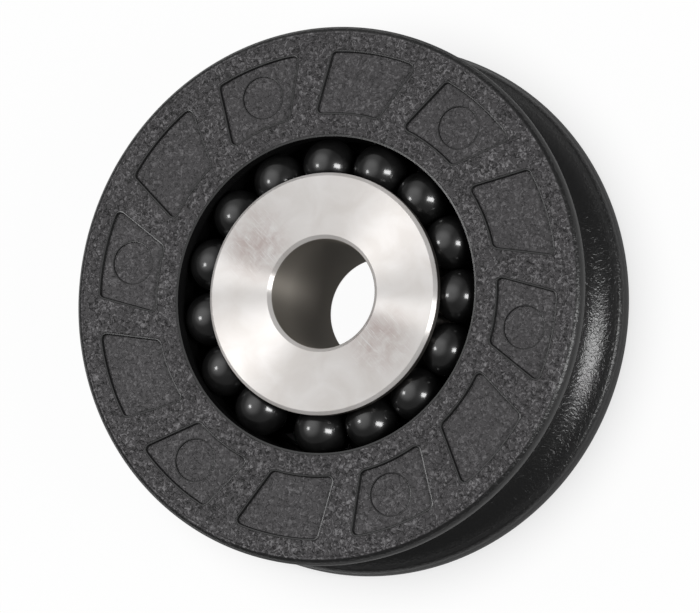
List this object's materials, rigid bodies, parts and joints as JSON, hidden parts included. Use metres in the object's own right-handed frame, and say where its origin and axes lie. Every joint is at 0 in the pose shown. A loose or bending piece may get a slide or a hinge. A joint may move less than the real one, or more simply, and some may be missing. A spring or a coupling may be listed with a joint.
{
  "type": "pulley sheave",
  "caption": "Rope pulley sheave of black moulded plastic that turns on loose balls round a plain-bored steel hub.",
  "frame": {"origin": "centre of the bore, midway between the hub's two ends", "axes": "+Z along the bore, out of the front face; +X through the middle of a front pocket that has a round mark"},
  "size_m": [0.04, 0.04, 0.0124],
  "materials": {
    "hub_steel": "turned bright",
    "sheave_plastic": "fine moulded texture",
    "ball_plastic": "satin"
  },
  "bodies": {
    "hub": {"hub": "hub_steel"},
    "sheave": {"sheave": "sheave_plastic"},
    "front_balls": {"front_ball_01": "ball_plastic", "front_ball_02": "ball_plastic", "front_ball_03": "ball_plastic", "front_ball_04": "ball_plastic", "front_ball_05": "ball_plastic", "front_ball_06": "ball_plastic", "front_ball_07": "ball_plastic", "front_ball_08": "ball_plastic", "front_ball_09": "ball_plastic", "front_ball_10": "ball_plastic", "front_ball_11": "ball_plastic", "front_ball_12": "ball_plastic", "front_ball_13": "ball_plastic", "front_ball_14": "ball_plastic", "front_ball_15": "ball_plastic"},
    "rear_balls": {"rear_ball_01": "ball_plastic", "rear_ball_02": "ball_plastic", "rear_ball_03": "ball_plastic", "rear_ball_04": "ball_plastic", "rear_ball_05": "ball_plastic", "rear_ball_06": "ball_plastic", "rear_ball_07": "ball_plastic", "rear_ball_08": "ball_plastic", "rear_ball_09": "ball_plastic", "rear_ball_10": "ball_plastic", "rear_ball_11": "ball_plastic", "rear_ball_12": "ball_plastic", "rear_ball_13": "ball_plastic", "rear_ball_14": "ball_plastic", "rear_ball_15": "ball_plastic"}
  },
  "joints": [
    {"name": "sheave_spin", "type": "hinge", "parent": "hub", "child": "sheave", "pos_m": [0, 0, 0], "axis": [0, 0, 1], "continuous": true},
    {"name": "front_ball_orbit", "type": "hinge", "parent": "hub", "child": "front_balls", "pos_m": [0, 0, 0], "axis": [0, 0, 1], "continuous": true},
    {"name": "rear_ball_orbit", "type": "hinge", "parent": "hub", "child": "rear_balls", "pos_m": [0, 0, 0], "axis": [0, 0, 1], "continuous": true}
  ],
  "couplings": [
    {"joint": "front_ball_orbit", "follows": "sheave_spin", "ratio": 0.601},
    {"joint": "rear_ball_orbit", "follows": "sheave_spin", "ratio": 0.601}
  ]
}
